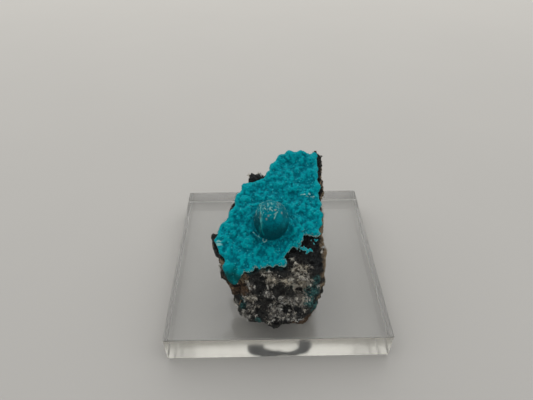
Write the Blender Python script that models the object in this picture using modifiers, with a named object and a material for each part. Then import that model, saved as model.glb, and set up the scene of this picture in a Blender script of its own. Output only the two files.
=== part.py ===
"""Chrysocolla specimen on a square clear acrylic base.

A lump of dark matrix rock stands on the base, held by a horseshoe roll of mineral tack. Its top is one
sloping face, covered by a blue-green crust of small round growths with one large ball among them.

Metres, +Z up, -Y towards the viewer. The origin is the middle of the base's underside.
"""

import math
import random

import bpy
import bmesh
from mathutils import Euler, Matrix, Vector, noise

MM = 0.001
COLLECTION = "chrysocolla"

# Clear base
BASE_SIDE = 63.5 * MM
BASE_THICKNESS = 9.525 * MM
BASE_EDGE_BREAK = 0.4 * MM

# Clearance between pieces that touch on the real object
GAP = 0.3 * MM
CUT_GAP = 0.38 * MM
CUTTER_VOXEL = 0.32 * MM
SHARPEST_CORNER = 2.0

# Sloping face that carries the crust: u runs along +X, v up the slope, w out of the rock
FACE_TILT = math.radians(28.0)
FACE_ORIGIN = Vector((-1.8, -15.0, 37.5)) * MM
CRUST_BED = -1.6 * MM
ROCK_TOP = CRUST_BED + 0.8 * MM
BED_SQUARES = 26

# Tack: a roll pressed between the base and the rock
TACK_WIDTH = 4.6 * MM
TACK_HEIGHT = 2.6 * MM
TACK_VOXEL = 0.32 * MM
TACK_FACES = 560
FOOT_TRIM = 0.02 * MM

# Rock
ROCK_FOOT = BASE_THICKNESS + 2.2 * MM
ROCK_VOXEL = 0.55 * MM
ROCK_FACES = 3200

# Relief of the rock's broken faces, in mm: (size, height) of each kind
SWELL = (7.0, 0.8)
RIDGES = (5.5, 0.45)
GRAIN = (1.4, 0.22)
LARGE_FACETS = (7.5, 2.6)
SMALL_FACETS = (3.2, 1.0)

# Crust
CRUST_LAYER = 1.0 * MM
CRUST_VOXEL = 0.3 * MM
CRUST_FACES = 5000
GROWTH_RADIUS = (0.75 * MM, 1.3 * MM)
GROWTH_SPACING = 1.45 * MM
BALL_MIDDLE = Vector((-0.1, -0.3, 2.4)) * MM
BALL_RADII = Vector((4.5, 4.9, 4.5)) * MM
BALL_FOOT = Vector((0.0, -0.8, 0.0)) * MM
BALL_FOOT_RADIUS = 3.5 * MM
SHELL_THICKNESS = 0.4 * MM
SHELL_END = Vector((-2.5, 0.0, 0.0)) * MM
SHELL_END_FACING = Vector((-1.0, 0.12, 0.15))

# Planes that the block of rock broke along: a point on each, in mm, and the way that it faces
BREAKS = {
    "front": ((0.0, -25.8, 31.0), (0.0, -0.985, 0.175)),
    "front left": ((-16.2, -20.0, 35.0), (-0.79, -0.60, -0.14)),
    "left": ((-16.4, -20.0, 35.0), (-0.872, 0.466, -0.17)),
    "back left": ((-3.9, -3.2, 43.4), (-0.52, 0.84, 0.12)),
    "back upper": ((0.0, 4.2, 47.0), (0.10, 0.95, 0.30)),
    "back lower": ((0.0, 7.0, 35.0), (-0.12, 0.915, -0.385)),
    "right": ((11.9, -6.0, 40.0), (1.0, 0.0, 0.01)),
    "right lower": ((12.3, -24.0, 26.0), (0.965, -0.05, -0.255)),
    "front right": ((11.4, -24.6, 28.0), (0.75, -0.66, 0.0)),
    "foot": ((0.0, 0.0, ROCK_FOOT / MM), (0.0, 0.0, -1.0)),
}

# Lumps that stand out of the rock: middle, radii and turn, in mm and degrees
LEDGES = {
    "left toe": ((-7.4, -25.4, 15.2), (3.4, 3.2, 4.0), (12, 8, 38)),
    "right toe": ((4.0, -26.9, 15.0), (5.4, 3.4, 4.8), (-6, 4, 8)),
    "front shelf": ((-1.0, -25.4, 24.2), (5.6, 2.2, 2.6), (8, -14, 4)),
    "front knob": ((6.4, -25.0, 21.0), (3.6, 2.6, 3.0), (20, 30, 12)),
    "left shoulder": ((-12.5, -22.8, 28.2), (2.7, 2.8, 4.8), (0, 0, 20)),
    "left flank": ((-11.6, -23.4, 22.4), (2.5, 2.6, 3.6), (0, 0, 20)),
    "left cheek": ((-14.2, -18.4, 32.6), (3.2, 4.2, 3.6), (20, 24, 32)),
    "left rib": ((-11.4, -13.0, 24.0), (3.0, 5.4, 6.4), (14, 22, 10)),
    "outcrop": ((-5.0, -3.0, 41.9), (2.9, 2.2, 2.6), (30, 12, 28)),
    "right rib": ((9.9, -12.0, 26.0), (3.0, 6.6, 5.0), (24, -6, 6)),
    "back knob": ((4.6, 2.4, 30.0), (7.0, 4.4, 7.2), (22, 12, 18)),
    "back step": ((-4.6, -2.2, 22.0), (6.6, 4.6, 5.2), (28, -18, 24)),
    "back brow": ((6.4, 1.6, 41.0), (5.4, 3.6, 4.2), (10, 34, 12)),
}

# Hollows broken out of the rock: middle and radii, in mm
HOLLOWS = {
    "cleft between the toes": ((-4.1, -30.0, 10.7), (2.3, 4.6, 3.6)),
    "front pocket": ((7.0, -28.6, 26.6), (3.0, 3.2, 2.6)),
    "left pocket": ((-15.8, -21.0, 19.2), (3.2, 4.4, 3.0)),
    "back pocket": ((-2.0, 7.6, 37.6), (4.0, 3.0, 2.8)),
    "right pocket": ((14.4, -5.4, 25.0), (3.2, 4.4, 5.2)),
}

# Edge of the crust on the sloping face, from the top and anticlockwise: u and v in mm
CRUST_EDGE = (
    (6.0, 20.6), (3.0, 18.8), (0.7, 15.6), (-1.9, 12.4), (-7.0, 10.9), (-8.1, 8.2), (-9.6, 4.2),
    (-11.0, 1.4), (-13.0, -0.8), (-14.4, -5.2), (-12.4, -8.4), (-11.2, -12.2), (-8.2, -12.4),
    (-5.9, -13.0), (-4.1, -12.0), (-0.8, -11.3), (3.4, -11.2), (3.2, -9.6), (4.6, -7.0),
    (7.2, -6.1), (8.2, -3.0), (11.6, -3.3), (13.2, -0.3), (13.0, 3.0), (13.1, 8.3), (12.5, 11.0),
    (12.9, 16.0), (12.9, 19.6), (9.4, 20.2),
)

# Growths that hang over the rock's left corner: middle and radius in mm, on the object's axes
DRIPS = (
    ((-12.6, -25.1, 31.6), 1.6),
    ((-12.3, -25.3, 30.0), 1.5),
    ((-11.9, -25.7, 28.6), 1.4),
    ((-11.4, -26.0, 27.5), 1.1),
    ((-10.7, -26.0, 29.3), 1.2),
    ((-10.0, -26.1, 31.0), 1.2),
)

# Middle line of the tack roll, in mm
TACK_PATH = (
    (-6.6, -9.6), (-7.3, -13.4), (-5.4, -16.0), (0.6, -16.3), (6.6, -15.8), (8.8, -12.6), (8.6, -7.0),
)


def mm(values):
    """A vector given in millimetres."""
    return Vector(values) * MM


def face_matrix():
    """Places u, v, w of the sloping face on the object's axes."""
    return Matrix.Translation(FACE_ORIGIN) @ Matrix.Rotation(FACE_TILT, 4, "X")


def cut_off(bm, point, facing):
    """Cuts away what lies beyond a plane and closes the cut."""
    everything = bm.verts[:] + bm.edges[:] + bm.faces[:]
    cut = bmesh.ops.bisect_plane(bm, geom=everything, plane_co=point, plane_no=facing, clear_outer=True)
    rim = [item for item in cut["geom_cut"] if isinstance(item, bmesh.types.BMEdge)]
    bmesh.ops.edgeloop_fill(bm, edges=rim)


def clear_scene():
    for old in list(bpy.data.objects):
        bpy.data.objects.remove(old, do_unlink=True)


def new_collection(name):
    collection = bpy.data.collections.new(name)
    bpy.context.scene.collection.children.link(collection)
    return collection


def material(name, colour, roughness, transmission=0.0, ior=1.5):
    finish = bpy.data.materials.new(name)
    finish.use_nodes = True
    shader = finish.node_tree.nodes["Principled BSDF"]
    shader.inputs["Base Color"].default_value = (*colour, 1.0)
    shader.inputs["Roughness"].default_value = roughness
    shader.inputs["Metallic"].default_value = 0.0
    shader.inputs["Transmission Weight"].default_value = transmission
    shader.inputs["IOR"].default_value = ior
    finish.diffuse_color = (*colour, 1.0)
    return finish


def add_object(name, bm, collection):
    """Makes an object of a bmesh and frees the bmesh."""
    mesh = bpy.data.meshes.new(name)
    bm.to_mesh(mesh)
    bm.free()
    obj = bpy.data.objects.new(name, mesh)
    collection.objects.link(obj)
    return obj


def hide_cutter(obj):
    obj.hide_render = True
    obj.display_type = "WIRE"


def apply_modifiers(obj):
    """Keeps the modified mesh and drops the modifiers."""
    graph = bpy.context.evaluated_depsgraph_get()
    mesh = bpy.data.meshes.new_from_object(obj.evaluated_get(graph))
    obj.modifiers.clear()
    obj.data = mesh


def fuse(obj, voxel):
    """Turns overlapping closed shapes into one skin."""
    remesh = obj.modifiers.new("fuse", "REMESH")
    remesh.mode = "VOXEL"
    remesh.voxel_size = voxel
    apply_modifiers(obj)


def thin_out(obj, triangles):
    """Brings a dense skin down to about this many triangles."""
    obj.data.calc_loop_triangles()
    decimate = obj.modifiers.new("thin out", "DECIMATE")
    decimate.ratio = min(1.0, triangles / len(obj.data.loop_triangles))
    decimate.use_collapse_triangulate = True
    apply_modifiers(obj)


def subtract(obj, cutter):
    cut = obj.modifiers.new("cut", "BOOLEAN")
    cut.operation = "DIFFERENCE"
    cut.solver = "EXACT"
    cut.object = cutter
    apply_modifiers(obj)


def keep_largest_body(obj):
    """Drops crumbs that a cut has left beside the main body."""
    bm = bmesh.new()
    bm.from_mesh(obj.data)
    unseen = set(bm.verts)
    bodies = []
    while unseen:
        body = set()
        front = [next(iter(unseen))]
        while front:
            vert = front.pop()
            if vert in body:
                continue
            body.add(vert)
            front.extend(edge.other_vert(vert) for edge in vert.link_edges)
        unseen -= body
        bodies.append(body)
    bodies.sort(key=len)
    crumbs = [vert for body in bodies[:-1] for vert in body]
    bmesh.ops.delete(bm, geom=crumbs, context="VERTS")
    bm.to_mesh(obj.data)
    bm.free()


def shade_smooth(obj, angle=40.0):
    obj.data.shade_smooth()
    obj.data.set_sharp_from_angle(angle=math.radians(angle))


def clear_base(collection):
    """Square block with its underside flat and its edges just broken."""
    bm = bmesh.new()
    size = Matrix.Diagonal((BASE_SIDE, BASE_SIDE, BASE_THICKNESS, 1.0))
    place = Matrix.Translation((0.0, 0.0, BASE_THICKNESS / 2))
    bmesh.ops.create_cube(bm, size=1.0, matrix=place @ size)
    base = add_object("acrylic_base", bm, collection)
    bevel = base.modifiers.new("broken edges", "BEVEL")
    bevel.width = BASE_EDGE_BREAK
    bevel.segments = 2
    base.data.materials.append(material("clear_acrylic", (0.80, 0.81, 0.78), 0.03, 1.0, 1.49))
    return base


def tack_roll(collection):
    """Roll of tack that follows TACK_PATH, flattened from above and below."""
    curve = bpy.data.curves.new("tack", "CURVE")
    curve.dimensions = "3D"
    curve.bevel_depth = TACK_WIDTH / 2
    curve.bevel_resolution = 4
    curve.resolution_u = 6
    curve.use_fill_caps = True
    line = curve.splines.new("NURBS")
    line.points.add(len(TACK_PATH) - 1)
    line.order_u = 4
    line.use_endpoint_u = True
    for point, (x, y) in zip(line.points, TACK_PATH):
        point.co = (x * MM, y * MM, 0.0, 1.0)
    roll = bpy.data.objects.new("tack", curve)
    collection.objects.link(roll)
    roll.location.z = BASE_THICKNESS + GAP + TACK_HEIGHT / 2
    roll.scale.z = TACK_HEIGHT / TACK_WIDTH
    bpy.context.view_layer.update()
    graph = bpy.context.evaluated_depsgraph_get()
    bm = bmesh.new()
    bm.from_mesh(bpy.data.meshes.new_from_object(roll.evaluated_get(graph)))
    bmesh.ops.remove_doubles(bm, verts=bm.verts, dist=0.01 * MM)
    bm.transform(roll.matrix_world)
    bpy.data.objects.remove(roll)
    return bm


def lumpy(bm, size, height):
    """Pushes every point in or out by smooth noise."""
    bm.normal_update()
    moves = [vert.normal * noise.fractal(vert.co / size, 0.8, 2.1, 3) * height for vert in bm.verts]
    for vert, move in zip(bm.verts, moves):
        vert.co += move


def mineral_tack(collection):
    """Tack pressed flat on the base, lumpy above."""
    bm = tack_roll(collection)
    lumpy(bm, 3.0 * MM, 0.12 * MM)
    bed = BASE_THICKNESS + GAP
    for vert in bm.verts:
        vert.co.z = max(vert.co.z, bed)
    tack = add_object("mineral_tack", bm, collection)
    fuse(tack, TACK_VOXEL)
    flatten_foot(tack, bed)
    thin_out(tack, TACK_FACES)
    shade_smooth(tack)
    tack.data.materials.append(material("grey_tack", (0.10, 0.11, 0.13), 0.75))
    return tack


def flatten_foot(obj, level):
    """Cuts a piece off level at its foot."""
    bm = bmesh.new()
    bm.from_mesh(obj.data)
    cut_off(bm, Vector((0.0, 0.0, level + FOOT_TRIM)), Vector((0.0, 0.0, -1.0)))
    bm.to_mesh(obj.data)
    bm.free()


def broken_block(bm):
    """A cube cut down along the planes in BREAKS."""
    bmesh.ops.create_cube(bm, size=120 * MM)
    for point, facing in BREAKS.values():
        cut_off(bm, mm(point), Vector(facing))
    face = face_matrix()
    cut_off(bm, face @ Vector((0.0, 0.0, ROCK_TOP)), face.to_3x3() @ Vector((0.0, 0.0, 1.0)))


def facet(place, kind):
    """Height of a broken facet, in mm: each cell of about this size leans its own way."""
    size, tilt = kind
    _, middles = noise.voronoi(place / size)
    lean = noise.cell_vector(middles[0] * 7.3) - Vector((0.5, 0.5, 0.5))
    return (place / size - middles[0]).dot(lean) * tilt


def roughen(obj):
    """Breaks up the flat faces: broad swells, leaning facets, sharp ridges and small grain."""
    bm = bmesh.new()
    bm.from_mesh(obj.data)
    bm.normal_update()
    moves = []
    for vert in bm.verts:
        place = vert.co / MM
        swell = noise.noise(place / SWELL[0]) * SWELL[1]
        ridge = (noise.ridged_multi_fractal(place / RIDGES[0], 0.9, 2.2, 4, 1.0, 2.0) - 1.1) * RIDGES[1]
        grain = noise.fractal(place / GRAIN[0], 0.9, 2.0, 3) * GRAIN[1]
        leaning = facet(place, LARGE_FACETS) + facet(place + Vector((31.0, 0.0, 0.0)), SMALL_FACETS)
        moves.append(vert.normal * (swell + ridge + grain + leaning) * MM)
    for vert, move in zip(bm.verts, moves):
        vert.co += move
    bm.to_mesh(obj.data)
    bm.free()


def face_cutter(cutters):
    """Block whose underside is the bed that the crust grew on."""
    bm = bmesh.new()
    bmesh.ops.create_grid(bm, x_segments=BED_SQUARES, y_segments=BED_SQUARES, size=30 * MM)
    for vert in bm.verts:
        u, v = vert.co.x / MM, vert.co.y / MM
        vert.co.z = CRUST_BED + bed_height(u, v) * MM
    skin = bmesh.ops.extrude_face_region(bm, geom=bm.faces[:])
    lifted = [item for item in skin["geom"] if isinstance(item, bmesh.types.BMVert)]
    for vert in lifted:
        vert.co.z = 25 * MM
    bmesh.ops.recalc_face_normals(bm, faces=bm.faces[:])
    bm.transform(face_matrix())
    cutter = add_object("crust_bed", bm, cutters)
    hide_cutter(cutter)
    return cutter


def bed_height(u, v):
    """Gentle swell of the bed, in mm, rougher where the crust has broken away."""
    swell = noise.noise(Vector((u / 9.0, v / 9.0, 3.0))) * 0.5
    bare = min(1.0, max(0.0, (u - 3.0) / 3.0)) * min(1.0, max(0.0, (-3.0 - v) / 3.0))
    return swell + bare * (noise.fractal(Vector((u, v, 0.0)) / 2.6, 0.9, 2.0, 3) * 0.7 - 0.3)


def matrix_rock(collection, bed, hollow):
    """Rough block with ledges fused on and pockets broken out."""
    bm = bmesh.new()
    broken_block(bm)
    for middle, size, turn in LEDGES.values():
        turned = Euler([math.radians(angle) for angle in turn]).to_matrix().to_4x4()
        place = Matrix.Translation(mm(middle)) @ turned @ Matrix.Diagonal((*mm(size), 1.0))
        bmesh.ops.create_icosphere(bm, subdivisions=1, radius=1.0, matrix=place)
    rock = add_object("matrix_rock", bm, collection)
    fuse(rock, ROCK_VOXEL)
    carve(rock)
    roughen(rock)
    fuse(rock, ROCK_VOXEL)
    thin_out(rock, ROCK_FACES)
    subtract(rock, bed)
    subtract(rock, hollow)
    keep_largest_body(rock)
    shade_smooth(rock, 30.0)
    rock.data.materials.append(material("dark_matrix", (0.055, 0.045, 0.04), 0.8))
    return rock


def carve(rock):
    """Pushes the surface in where a hollow in HOLLOWS reaches it."""
    bm = bmesh.new()
    bm.from_mesh(rock.data)
    for middle, radii in HOLLOWS.values():
        centre = mm(middle)
        for vert in bm.verts:
            offset = Vector([part / (radius * MM) for part, radius in zip(vert.co - centre, radii)])
            reach = offset.length
            if 0.0 < reach < 1.0:
                edge = Vector([part / reach * radius * MM for part, radius in zip(offset, radii)])
                vert.co = centre + edge
    bm.to_mesh(rock.data)
    bm.free()


def inside_edge(u, v):
    """True where a point of the face, in mm, lies within CRUST_EDGE."""
    inside = False
    for (u1, v1), (u2, v2) in zip(CRUST_EDGE, CRUST_EDGE[1:] + CRUST_EDGE[:1]):
        if (v1 > v) != (v2 > v) and u < (u2 - u1) * (v - v1) / (v2 - v1) + u1:
            inside = not inside
    return inside


def growth_places(rng):
    """Spots for the round growths, none nearer to another than GROWTH_SPACING."""
    places = []
    spacing = GROWTH_SPACING / MM
    for _ in range(16000):
        u = rng.uniform(-16.0, 14.5)
        v = rng.uniform(-14.0, 21.5)
        if not inside_edge(u, v):
            continue
        if all((u - a) ** 2 + (v - b) ** 2 > spacing ** 2 for a, b in places):
            places.append((u, v))
    return places


def crust_layer(bm):
    """Flat sheet of crust under the growths, in the outline of CRUST_EDGE."""
    curve = bpy.data.curves.new("crust_layer", "CURVE")
    curve.dimensions = "2D"
    curve.fill_mode = "BOTH"
    curve.extrude = CRUST_LAYER
    line = curve.splines.new("POLY")
    line.points.add(len(CRUST_EDGE) - 1)
    line.use_cyclic_u = True
    for point, (u, v) in zip(line.points, CRUST_EDGE):
        point.co = (u * MM, v * MM, 0.0, 1.0)
    sheet = bpy.data.objects.new("crust_layer", curve)
    bpy.context.scene.collection.objects.link(sheet)
    graph = bpy.context.evaluated_depsgraph_get()
    mesh = bpy.data.meshes.new_from_object(sheet.evaluated_get(graph))
    mesh.transform(Matrix.Translation((0.0, 0.0, CRUST_BED)))
    bm.from_mesh(mesh)
    bmesh.ops.remove_doubles(bm, verts=bm.verts, dist=0.001 * MM)
    bpy.data.objects.remove(sheet)


def sphere(bm, centre, radius, detail=2):
    bmesh.ops.create_icosphere(bm, subdivisions=detail, radius=radius, matrix=Matrix.Translation(centre))


def growths(bm, rng):
    """Round growths over the sheet, of uneven size and height."""
    smallest, largest = GROWTH_RADIUS
    for u, v in growth_places(rng):
        radius = smallest + (largest - smallest) * rng.random() ** 1.6
        swell = noise.noise(Vector((u / 5.0, v / 5.0, 7.0))) * 0.55 * MM
        lift = CRUST_BED + bed_height(u, v) * MM + CRUST_LAYER + swell + rng.uniform(-0.2, 0.1) * MM
        sphere(bm, Vector((u * MM, v * MM, lift)), radius)


def rounded(bm, thickness):
    """The ball's outline, this much smaller all round."""
    radii = [radius - thickness for radius in BALL_RADII]
    place = Matrix.Translation(BALL_MIDDLE) @ Matrix.Diagonal((*radii, 1.0))
    bmesh.ops.create_icosphere(bm, subdivisions=4, radius=1.0, matrix=place)


def ball(bm):
    """Large ball, with a step on its left where an outer shell ends."""
    rounded(bm, SHELL_THICKNESS)
    shell = bmesh.new()
    rounded(shell, 0.0)
    cut_off(shell, SHELL_END, SHELL_END_FACING)
    mesh = bpy.data.meshes.new("shell")
    shell.to_mesh(mesh)
    shell.free()
    bm.from_mesh(mesh)
    bpy.data.meshes.remove(mesh)
    sphere(bm, BALL_FOOT, BALL_FOOT_RADIUS, 3)


def swollen_copy(obj, name, triangles, cutters):
    """A piece grown by the clearance, to cut the neighbour that fits it."""
    bm = bmesh.new()
    bm.from_mesh(obj.data)
    bm.normal_update()
    moves = [vert.normal * CUT_GAP * min(SHARPEST_CORNER, vert.calc_shell_factor()) for vert in bm.verts]
    for vert, move in zip(bm.verts, moves):
        vert.co += move
    cutter = add_object(name, bm, cutters)
    fuse(cutter, CUTTER_VOXEL)
    thin_out(cutter, triangles)
    hide_cutter(cutter)
    return cutter


def chrysocolla_crust(collection, cutters, rock):
    """Sheet, growths and ball fused into one crust that fits the rock."""
    rng = random.Random(41)
    bm = bmesh.new()
    crust_layer(bm)
    growths(bm, rng)
    ball(bm)
    bm.transform(face_matrix())
    for middle, radius in DRIPS:
        sphere(bm, mm(middle), radius * MM)
    crust = add_object("chrysocolla_crust", bm, collection)
    fuse(crust, CRUST_VOXEL)
    subtract(crust, swollen_copy(rock, "crust_clearance", 2 * ROCK_FACES, cutters))
    fuse(crust, CRUST_VOXEL)
    keep_largest_body(crust)
    thin_out(crust, CRUST_FACES)
    shade_smooth(crust, 50.0)
    crust.data.materials.append(material("chrysocolla", (0.0, 0.13, 0.17), 0.5))
    return crust


def main():
    clear_scene()
    parts = new_collection(COLLECTION)
    cutters = new_collection(COLLECTION + "_cutters")
    clear_base(parts)
    tack = mineral_tack(parts)
    hollow = swollen_copy(tack, "tack_clearance", TACK_FACES, cutters)
    rock = matrix_rock(parts, face_cutter(cutters), hollow)
    chrysocolla_crust(parts, cutters, rock)


main()
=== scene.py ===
"""Looks of the chrysocolla specimen: fine growths, broken rock, soft tack and clear base.

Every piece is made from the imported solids, in metres, +Z up, with the viewer at -Y.
"""

import math

import bpy
import numpy as np
from mathutils import Matrix, Vector, noise
from mathutils.bvhtree import BVHTree
from mathutils.kdtree import KDTree

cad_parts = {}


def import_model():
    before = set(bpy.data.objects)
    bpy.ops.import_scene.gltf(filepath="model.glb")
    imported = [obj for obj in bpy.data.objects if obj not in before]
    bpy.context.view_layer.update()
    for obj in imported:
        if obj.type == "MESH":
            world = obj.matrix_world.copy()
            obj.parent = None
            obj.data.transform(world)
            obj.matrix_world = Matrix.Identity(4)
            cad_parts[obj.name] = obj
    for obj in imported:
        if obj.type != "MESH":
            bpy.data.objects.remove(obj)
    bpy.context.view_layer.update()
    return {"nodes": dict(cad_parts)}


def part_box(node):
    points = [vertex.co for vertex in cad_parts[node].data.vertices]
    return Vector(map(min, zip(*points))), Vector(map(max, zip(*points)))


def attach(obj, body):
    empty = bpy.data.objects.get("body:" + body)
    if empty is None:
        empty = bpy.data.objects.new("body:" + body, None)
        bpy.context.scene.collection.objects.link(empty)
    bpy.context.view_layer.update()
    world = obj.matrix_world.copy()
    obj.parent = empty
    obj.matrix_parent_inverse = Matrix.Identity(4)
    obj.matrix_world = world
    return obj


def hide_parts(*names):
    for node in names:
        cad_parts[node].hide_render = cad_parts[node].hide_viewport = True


MM = 0.001
UP = Vector((0.0, 0.0, 1.0))
TINY = 1e-12

# Camera: a wide lens close to the specimen
CAMERA_PLACE = (-3.99 * MM, -95.86 * MM, 114.0 * MM)
CAMERA_DOWN = math.radians(40.46)
CAMERA_YAW = math.radians(-0.77)
CAMERA_ROLL = math.radians(0.33)
CAMERA_LENS = 28.89
CAMERA_SENSOR = 36.0
CAMERA_NEAREST = 1.0 * MM

# Sloping face of the rock: u runs along +X, v up the slope, w out of the rock
FACE_TILT = math.radians(28.0)
FACE_ORIGIN = Vector((-1.8, -15.0, 37.5)) * MM
FACE = Matrix.Translation(FACE_ORIGIN) @ Matrix.Rotation(FACE_TILT, 4, "X")

# Each layer of noise below has its feature size in mm, its shift and its height, for a shape in mm.
# Each fade has the values where it starts and ends, negative ones for a mask that fades outward

# Large ball: radii in mm, and the way that looks upward in the photograph
BALL_CENTRE = FACE @ (Vector((-0.1, -0.3, 2.4)) * MM)
BALL_RADII = (4.65, 5.1, 4.68)
BALL_DETAIL = 7
BALL_SEEN_UP = (0.0, 0.93, 0.37)
BALL_DENTS = (0.42, 5.0, 0.10)
BALL_GRAIN = (0.12, 0.0, 0.03)

# Thin shell over the ball and the raised lip where it ends on the left, in mm
SHELL_STEP = 0.35
SHELL_END = -3.05
SHELL_BEND = 0.5
SHELL_RISE = (-0.1, 0.1)
SHELL_NOISE = (0.35, 0.0, 0.4)
LIP_PLACE = 0.1
LIP_WIDTH = 0.14
LIP_HEIGHT = 0.10

# Where the ball's painted shade and its marks begin and end, from -1 to 1
LIP_FRONT = (-0.4, 0.2)
LIP_UP = (-0.8, 0.2)
RECESS_FADE = (-0.55, -0.2)
UNDERSIDE_SHADE_FADE = (-0.1, 0.5)
UNDERSIDE_SHADE_NOISE = (0.5, 8.0, 0.25)
FLECK_FADE = (-0.3, 0.3)

# Crust without its packed growths, as the ground for finer ones
GROUND_VOXEL = 0.35 * MM
GROUND_ROUNDS = 5
GROUND_SWELL = 0.20 * MM
GROUND_EDGE = (0.2 * MM, 1.2 * MM)
GROUND_BALL = (1.1, 1.3)
LUMP_SIZES = ((1.35, 0.42 * MM), (2.5, 0.48 * MM))
LUMP_SHIFT = 13.0
WAVE_SIZE = 3.0
WAVE_HEIGHT = 0.30 * MM
WANDER_SHIFTS = ((0.0, 0.0, 0.0), (19.1, 7.3, 3.7), (5.9, 23.1, 11.3))
WANDER_REACH = 0.3
WANDER_RATE = 0.9

# The crust's sides: facing away from the slope, and outside the ball
SIDE_FACING = 0.5
SIDE_REACH = 1.25

# Small growths on the crust
GROWTH_SPACING = 0.46 * MM
GROWTH_TRIES = 40000
GROWTH_DETAIL = 2
GROWTH_RADIUS = (0.22 * MM, 0.50 * MM)
GROWTH_SKEW = 1.8
GROWTH_HEIGHT = (0.07 * MM, 0.27 * MM)
GROWTH_OVERHANG = 0.10 * MM
STEEP_SHARE = 0.25
UNDERSIDE = -0.35
CRUST_VOXEL = 0.17 * MM
CRUST_SEED = 17
CRUST_GRAINS = (0.36, 0.0, 0.18)
CRUST_ROUGH = (0.7, 0.0, 0.12)

# Round the ball, where 1 is its surface: no growths below BALL_BARE, and the crust that lies below
# BALL_CLEAR is drawn in to BALL_INSIDE
BALL_BARE = 1.12
BALL_CLEAR = 1.06
BALL_INSIDE = 0.9

# Rounds of smoothing and full height that a point's relief is measured against
CRUST_RELIEF = (10, 0.12 * MM)
CRUST_VALLEY = (120, 0.40 * MM)
ROCK_RELIEF = (16, 0.24 * MM)

# Drip over the left corner, which is smoother and darker than the crust
DRIP_MIDDLE = Vector((-11.9, -26.4, 29.3)) * MM
DRIP_BARE = 1.9 * MM
DRIP_REACH = 4.2 * MM

# Lower edge of the crust, broken and pale: u and v in mm, from the left
BROKEN_EDGE = (
    (-8.2, -12.4), (-5.9, -13.0), (-4.1, -12.0), (-0.8, -11.3), (3.4, -11.2), (3.2, -9.6),
    (4.6, -7.0), (7.2, -6.1), (8.2, -3.0), (11.6, -3.3),
)
EDGE_BREAK = 0.5 * MM
EDGE_WIDTH = 0.7
EDGE_SIZE = 0.8
EDGE_SHIFTS = (41.0, 47.0)
RIM_REACH = (-1.7, -0.9)
RIM_TURN = (0.35, 0.8)

# Pale streaks on the ball's surface: the points of each, where 1 is the ball's own radius
BALL_STREAKS = (
    # The first streak runs along the ball's top outline and is partly a painted highlight there
    ((-0.20, 0.92, 0.33), (-0.10, 0.94, 0.34), (0.08, 0.94, 0.34)),
    ((-0.38, 0.76, 0.53), (-0.66, 0.71, 0.25)),
    ((-0.75, 0.62, 0.22), (-0.84, 0.39, 0.37), (-0.83, 0.14, 0.53)),
    ((-0.34, 0.36, 0.87), (-0.26, 0.27, 0.93)),
    ((-0.16, 0.65, 0.74), (-0.12, 0.48, 0.87)),
    ((0.03, 0.67, 0.74), (0.07, 0.52, 0.85)),
    ((0.0, 0.37, 0.93), (-0.05, 0.21, 0.98)),
    ((0.0, 0.23, 0.97), (0.09, 0.15, 0.99)),
    ((0.35, 0.11, 0.93), (0.18, -0.02, 0.98)),
    ((0.28, 0.03, 0.96), (0.17, -0.23, 0.96)),
    ((0.59, 0.75, 0.30), (0.74, 0.62, 0.26)),
    ((-0.55, 0.41, 0.72), (-0.58, 0.11, 0.80), (-0.60, -0.18, 0.78)),
    ((0.62, 0.72, 0.29), (0.55, 0.78, 0.30)),
)
STREAK_WIDTH = 0.024
STREAK_HEIGHT = 0.07

# Dull vertical bands low on the ball's left, placed in the same way
BALL_BANDS = (
    ((-0.57, -0.42, 0.71), (-0.67, -0.60, 0.43), (-0.58, -0.81, 0.11)),
    ((-0.43, -0.47, 0.77), (-0.50, -0.65, 0.58), (-0.39, -0.85, 0.36)),
)
BAND_WIDTH = 0.05

# Pinkish specks on the ball, placed in the same way
BALL_SPECKS = (
    (0.24, 0.20, 0.95), (0.58, 0.10, 0.81), (0.39, 0.74, 0.55), (0.38, 0.53, 0.76),
    (0.77, 0.45, 0.44), (0.50, 0.62, 0.60), (-0.24, -0.24, 0.94), (-0.13, -0.09, 0.99),
)
SPECK_WIDTH = 0.045
SPECK_HEIGHT = 0.05

# On the crust in front of the ball, in mm on the sloping face: a low ring, middle and radius, a
# pale ledge and the crease below it. The rims say how pale each is
RING = ((-1.75, -5.0), 0.42)
RING_NOISE = (0.8, 6.0, 0.12)
RING_WIDTH = 0.16
RING_HEIGHT = 0.16
RING_RIM = 0.65
LEDGE = ((-4.65, -2.7), (-3.8, -3.6), (-2.85, -4.15))
LEDGE_WIDTH = 0.2
LEDGE_HEIGHT = 0.25
LEDGE_RIM = 0.45
CREASE = ((-5.05, -3.0), (-4.35, -3.75), (-3.3, -4.65), (-2.45, -5.15))
CREASE_WIDTH = 0.22
CREASE_DEPTH = 0.35

# Streaked ovals on the crust, at its back right and its left corner: middle, width and height in mm
BACK_FLECKS = ((10.0, 7.2), 2.4, 1.0)
BACK_FADE = (-1.0, -0.6)
CORNER_FLECKS = ((-14.0, -5.6), 1.8, 1.8)
CORNER_FADE = (-1.0, -0.5)
CORNER_SHARE = 0.7

# Rock, with its outcrop on the left drawn higher: middle and reach in mm
OUTCROP = (((-6.2, -2.2, 42.0), 3.2),)
OUTCROP_RISE = 0.8
ROCK_VOXEL = 0.27 * MM
ROCK_SWELL = 0.08
ROCK_FACETS = (2.4, 0.0, 0.9)
ROCK_CHIPS = (1.1, 9.0, 0.42)
ROCK_RIDGES = (2.2, 0.0, 0.24)
ROCK_ROUGH = (0.8, 0.0, 0.13)
ROCK_GRAINS = (0.6, 0.0, 0.34)
FRONT_PLACE = (22.0 * MM, 25.0 * MM)
FRONT_TURN = (-0.1, 0.3)

# Where the crust covers the rock, found by looking outward from this many mm inside it, and the
# widest gap in mm that is told apart
COVER_BACK = 0.5
COVER_FAR = 2.5 * MM
COVERED_SHARE = 0.9
GAP_LIMIT = 2.0

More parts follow.
